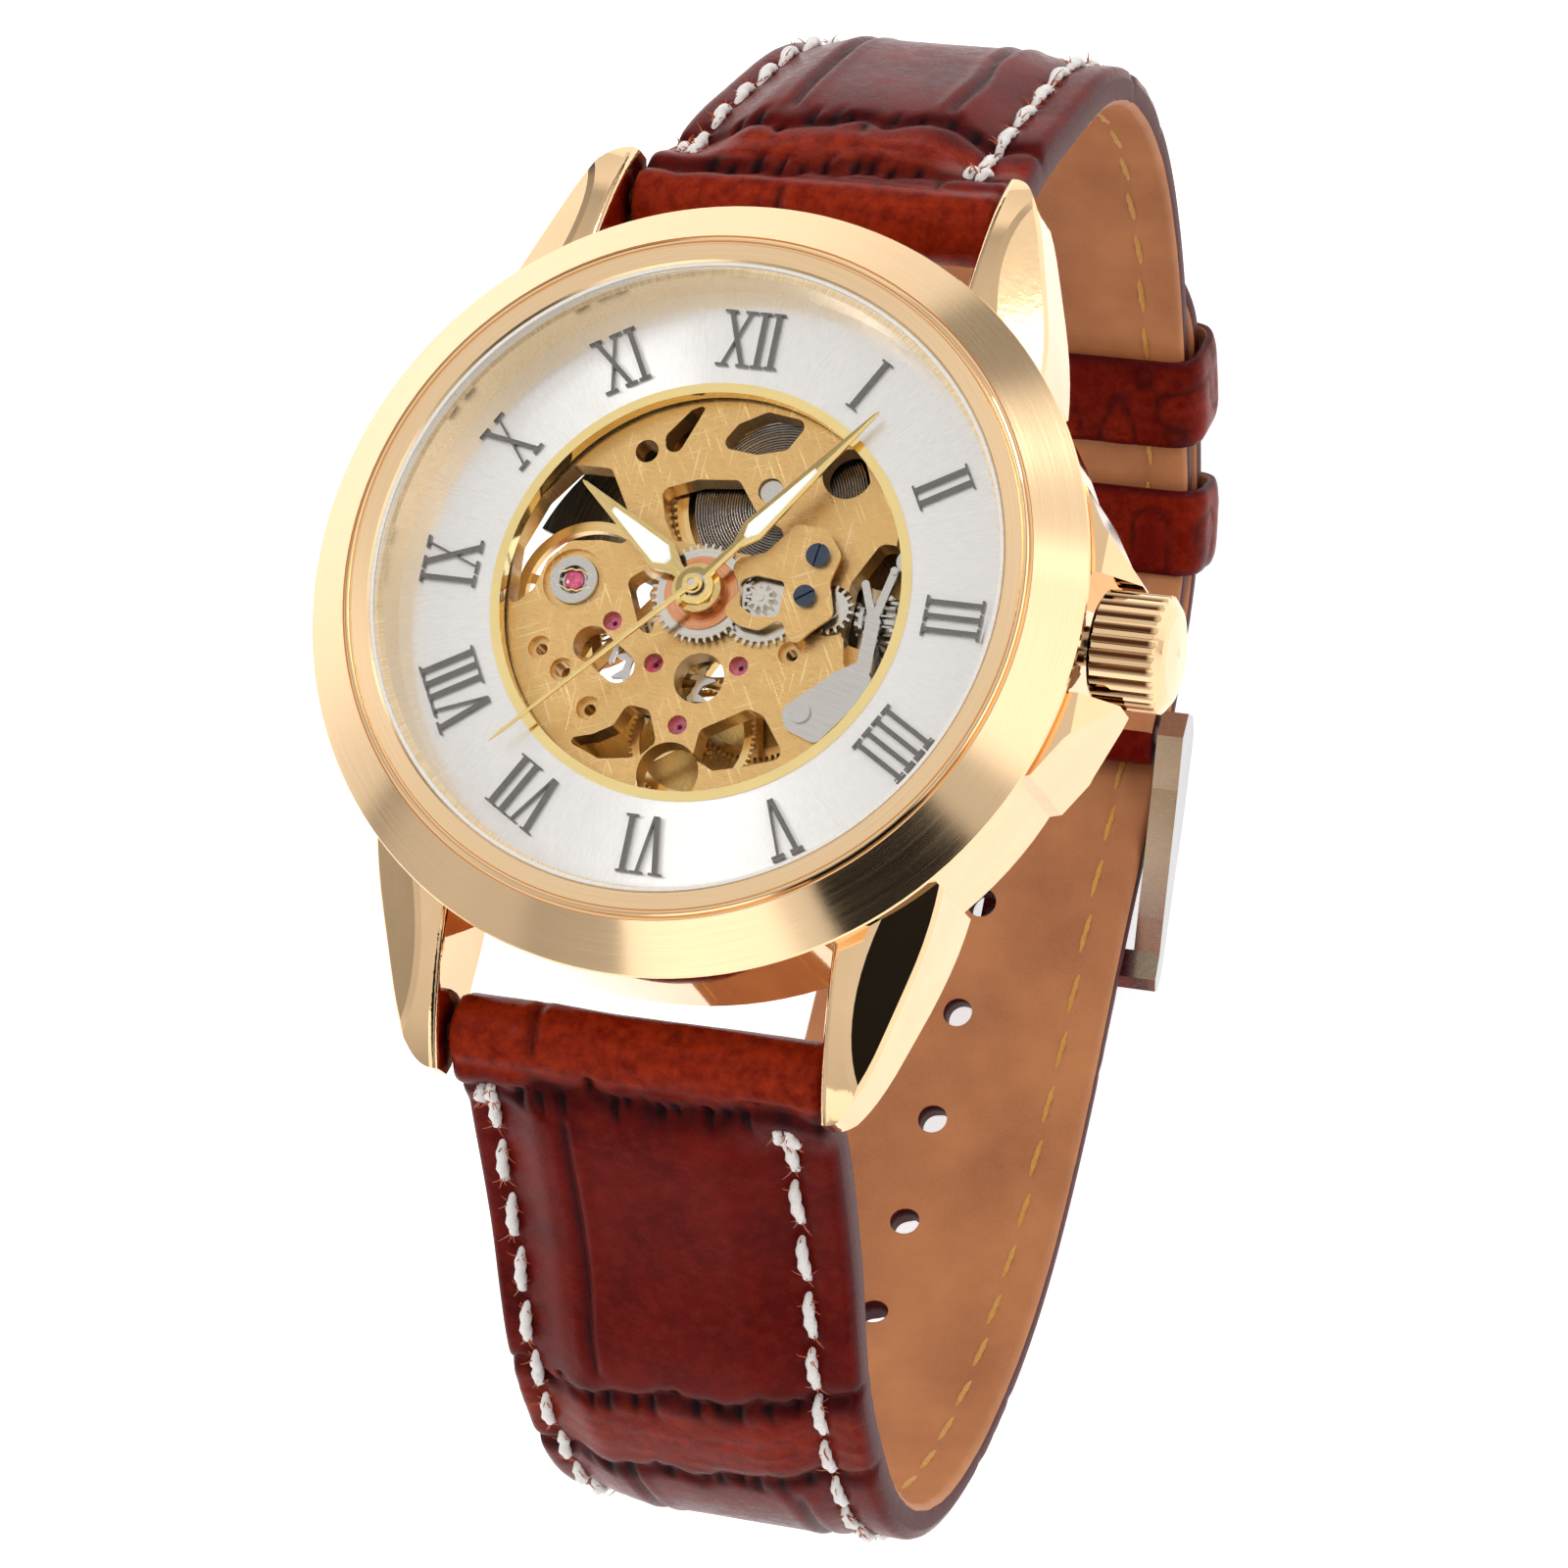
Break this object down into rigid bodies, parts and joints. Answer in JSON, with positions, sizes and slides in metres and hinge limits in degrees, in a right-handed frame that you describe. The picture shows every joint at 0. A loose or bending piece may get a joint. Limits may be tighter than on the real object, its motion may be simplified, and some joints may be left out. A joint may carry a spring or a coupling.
{
  "type": "skeleton wristwatch",
  "caption": "Skeleton wristwatch: round case with lugs, open dial over a geared movement, crown, and a leather strap closed by a tang buckle.",
  "frame": {"origin": "on the hand axis at the outer plane of the case back", "axes": "+Z out of the dial, +Y towards 12 o'clock, +X towards 3 o'clock and the crown; the strap hangs in -Z"},
  "size_m": [0.0441, 0.0819, 0.0664],
  "materials": {
    "case_metal": "pale rose-gold plating, brushed and polished",
    "front_crystal": "clear sapphire",
    "rear_crystal": "clear mineral glass",
    "gasket_white": "white nylon ring",
    "gasket_dark": "matte rubber",
    "dial_silver": "sunburst brushed silver",
    "gold_trim": "polished yellow gold",
    "numeral_silver": "polished",
    "plate_brass": "gilt, fine brushed",
    "wheel_brass": "gilt, satin",
    "movement_steel": "satin",
    "dark_steel": "dark satin",
    "blued_steel": "blued, polished",
    "copper": "satin copper",
    "ruby": "polished synthetic ruby",
    "leather_brown": "embossed red-brown leather, tan lining",
    "buckle_steel": "polished steel",
    "holder_grey": "matte nylon"
  },
  "bodies": {
    "watch": {"mid_case": "case_metal", "bezel": "case_metal", "crystal": "front_crystal", "crystal_gasket": "gasket_white", "rehaut": "case_metal", "case_back": "case_metal", "back_crystal": "rear_crystal", "crown_tube": "movement_steel", "spring_bar_12": "movement_steel", "spring_bar_6": "movement_steel", "movement_holder": "holder_grey", "dial": "dial_silver", "dial_rim": "gold_trim", "hour_numerals": "numeral_silver", "main_plate": "plate_brass", "plate_jewels": "ruby", "shock_setting": "movement_steel", "barrel_bridge": "plate_brass", "train_bridge": "plate_brass", "balance_cock": "plate_brass", "pallet_bridge": "plate_brass", "motion_bridge": "plate_brass", "movement_screws": "blued_steel", "setting_jumper": "movement_steel", "yoke": "movement_steel", "click": "movement_steel", "strap_12": "leather_brown", "strap_6": "leather_brown", "fixed_keeper": "leather_brown"},
    "crown_sleeve": {"crown_gasket": "gasket_dark"},
    "crown": {"crown": "case_metal", "stem": "movement_steel"},
    "winding_pinion": {"winding_pinion": "movement_steel"},
    "clutch": {"clutch": "movement_steel"},
    "crown_wheel": {"crown_wheel": "movement_steel"},
    "ratchet": {"barrel_arbor": "movement_steel", "ratchet_wheel": "movement_steel"},
    "setting_lever": {"setting_lever": "movement_steel"},
    "minutes": {"centre_wheel": "wheel_brass", "cannon_pinion": "movement_steel", "minute_hand": "gold_trim"},
    "hours": {"hour_wheel": "movement_steel", "dial_washer": "copper", "hour_hand": "gold_trim"},
    "seconds": {"seconds_wheel": "movement_steel", "seconds_hand": "gold_trim"},
    "minute_work": {"minute_wheel": "movement_steel"},
    "setting": {"setting_wheel": "movement_steel"},
    "barrel": {"barrel_drum": "wheel_brass", "mainspring": "dark_steel"},
    "third": {"third_wheel": "wheel_brass"},
    "fourth": {"fourth_wheel": "wheel_brass"},
    "escape": {"escape_wheel": "movement_steel"},
    "pallets": {"pallet_fork": "movement_steel"},
    "balance": {"balance_wheel": "wheel_brass", "hairspring": "dark_steel"},
    "rotor": {"rotor": "dark_steel"},
    "floating_keeper": {"floating_keeper": "leather_brown"},
    "buckle": {"buckle_frame": "buckle_steel"},
    "tang": {"buckle_tang": "buckle_steel"}
  },
  "joints": [
    {"name": "minute_spin", "type": "hinge", "parent": "watch", "child": "minutes", "pos_m": [0, 0, 0.005], "axis": [0, 0, 1], "continuous": true},
    {"name": "hour_spin", "type": "hinge", "parent": "watch", "child": "hours", "pos_m": [0, 0, 0.0075], "axis": [0, 0, 1], "continuous": true},
    {"name": "seconds_spin", "type": "hinge", "parent": "watch", "child": "seconds", "pos_m": [0, 0, 0.005], "axis": [0, 0, 1], "continuous": true},
    {"name": "minute_work_spin", "type": "hinge", "parent": "watch", "child": "minute_work", "pos_m": [0.0031, 0.0001, 0.0072], "axis": [0, 0, 1], "continuous": true},
    {"name": "setting_wheel_spin", "type": "hinge", "parent": "watch", "child": "setting", "pos_m": [0.00659, 0, 0.0071], "axis": [0, 0, 1], "continuous": true},
    {"name": "barrel_spin", "type": "hinge", "parent": "watch", "child": "barrel", "pos_m": [0.00225, 0.00585, 0.0045], "axis": [0, 0, 1], "continuous": true},
    {"name": "third_spin", "type": "hinge", "parent": "watch", "child": "third", "pos_m": [0.0025, -0.00335, 0.004], "axis": [0, 0, 1], "continuous": true},
    {"name": "fourth_spin", "type": "hinge", "parent": "watch", "child": "fourth", "pos_m": [0, -0.0067, 0.004], "axis": [0, 0, 1], "continuous": true},
    {"name": "escape_spin", "type": "hinge", "parent": "watch", "child": "escape", "pos_m": [-0.0019, -0.0037, 0.004], "axis": [0, 0, 1], "continuous": true},
    {"name": "pallet_swing", "type": "hinge", "parent": "watch", "child": "pallets", "pos_m": [-0.0045, -0.0018, 0.005], "axis": [0, 0, 1], "range_deg": [-5, 5]},
    {"name": "balance_swing", "type": "hinge", "parent": "watch", "child": "balance", "pos_m": [-0.007, 0.0001, 0.0042], "axis": [0, 0, 1], "range_deg": [-270, 270], "stiffness_Nm_per_rad": 0.0000006, "deforming": ["hairspring"]},
    {"name": "rotor_spin", "type": "hinge", "parent": "watch", "child": "rotor", "pos_m": [0, 0, 0.0017], "axis": [0, 0, 1], "continuous": true},
    {"name": "crown_pull", "type": "slide", "parent": "watch", "child": "crown_sleeve", "axis": [1, 0, 0], "range_m": [0, 0.0009]},
    {"name": "crown_spin", "type": "hinge", "parent": "crown_sleeve", "child": "crown", "pos_m": [0.022, 0, 0.006], "axis": [1, 0, 0], "continuous": true},
    {"name": "winding_pinion_spin", "type": "hinge", "parent": "watch", "child": "winding_pinion", "pos_m": [0.0095, 0, 0.006], "axis": [1, 0, 0], "continuous": true},
    {"name": "clutch_spin", "type": "hinge", "parent": "watch", "child": "clutch", "pos_m": [0.0084, 0, 0.006], "axis": [1, 0, 0], "continuous": true},
    {"name": "crown_wheel_spin", "type": "hinge", "parent": "watch", "child": "crown_wheel", "pos_m": [0.0079, 0, 0.004], "axis": [0, 0, 1], "continuous": true},
    {"name": "ratchet_spin", "type": "hinge", "parent": "watch", "child": "ratchet", "pos_m": [0.00225, 0.00585, 0.004], "axis": [0, 0, 1], "continuous": true},
    {"name": "setting_lever_swing", "type": "hinge", "parent": "watch", "child": "setting_lever", "pos_m": [0.01, 0.003, 0.0067], "axis": [0, 0, 1], "range_deg": [0, 18.6]},
    {"name": "keeper_slide", "type": "slide", "parent": "watch", "child": "floating_keeper", "axis": [0, 0.6333, 0.7739], "range_m": [-0.0006, 0.002]},
    {"name": "buckle_swing", "type": "hinge", "parent": "watch", "child": "buckle", "pos_m": [0, 0.0113, -0.051], "axis": [1, 0, 0], "range_deg": [0, 10]},
    {"name": "tang_swing", "type": "hinge", "parent": "buckle", "child": "tang", "pos_m": [0, 0.0113, -0.051], "axis": [1, 0, 0], "range_deg": [0, 8]}
  ],
  "couplings": [
    {"joint": "barrel_spin", "follows": "minute_spin", "ratio": -0.14286},
    {"joint": "third_spin", "follows": "minute_spin", "ratio": -8},
    {"joint": "seconds_spin", "follows": "minute_spin", "ratio": 60},
    {"joint": "fourth_spin", "follows": "minute_spin", "ratio": 60},
    {"joint": "escape_spin", "follows": "minute_spin", "ratio": -600},
    {"joint": "minute_work_spin", "follows": "minute_spin", "ratio": -0.33333},
    {"joint": "hour_spin", "follows": "minute_spin", "ratio": 0.083333},
    {"joint": "setting_wheel_spin", "follows": "minute_spin", "ratio": 0.66667},
    {"joint": "winding_pinion_spin", "follows": "crown_spin", "ratio": 1},
    {"joint": "clutch_spin", "follows": "crown_spin", "ratio": 1},
    {"joint": "crown_wheel_spin", "follows": "crown_spin", "ratio": 0.63636},
    {"joint": "ratchet_spin", "follows": "crown_spin", "ratio": -0.56294},
    {"joint": "setting_lever_swing", "follows": "crown_pull", "rad_per_m": 356.67}
  ]
}
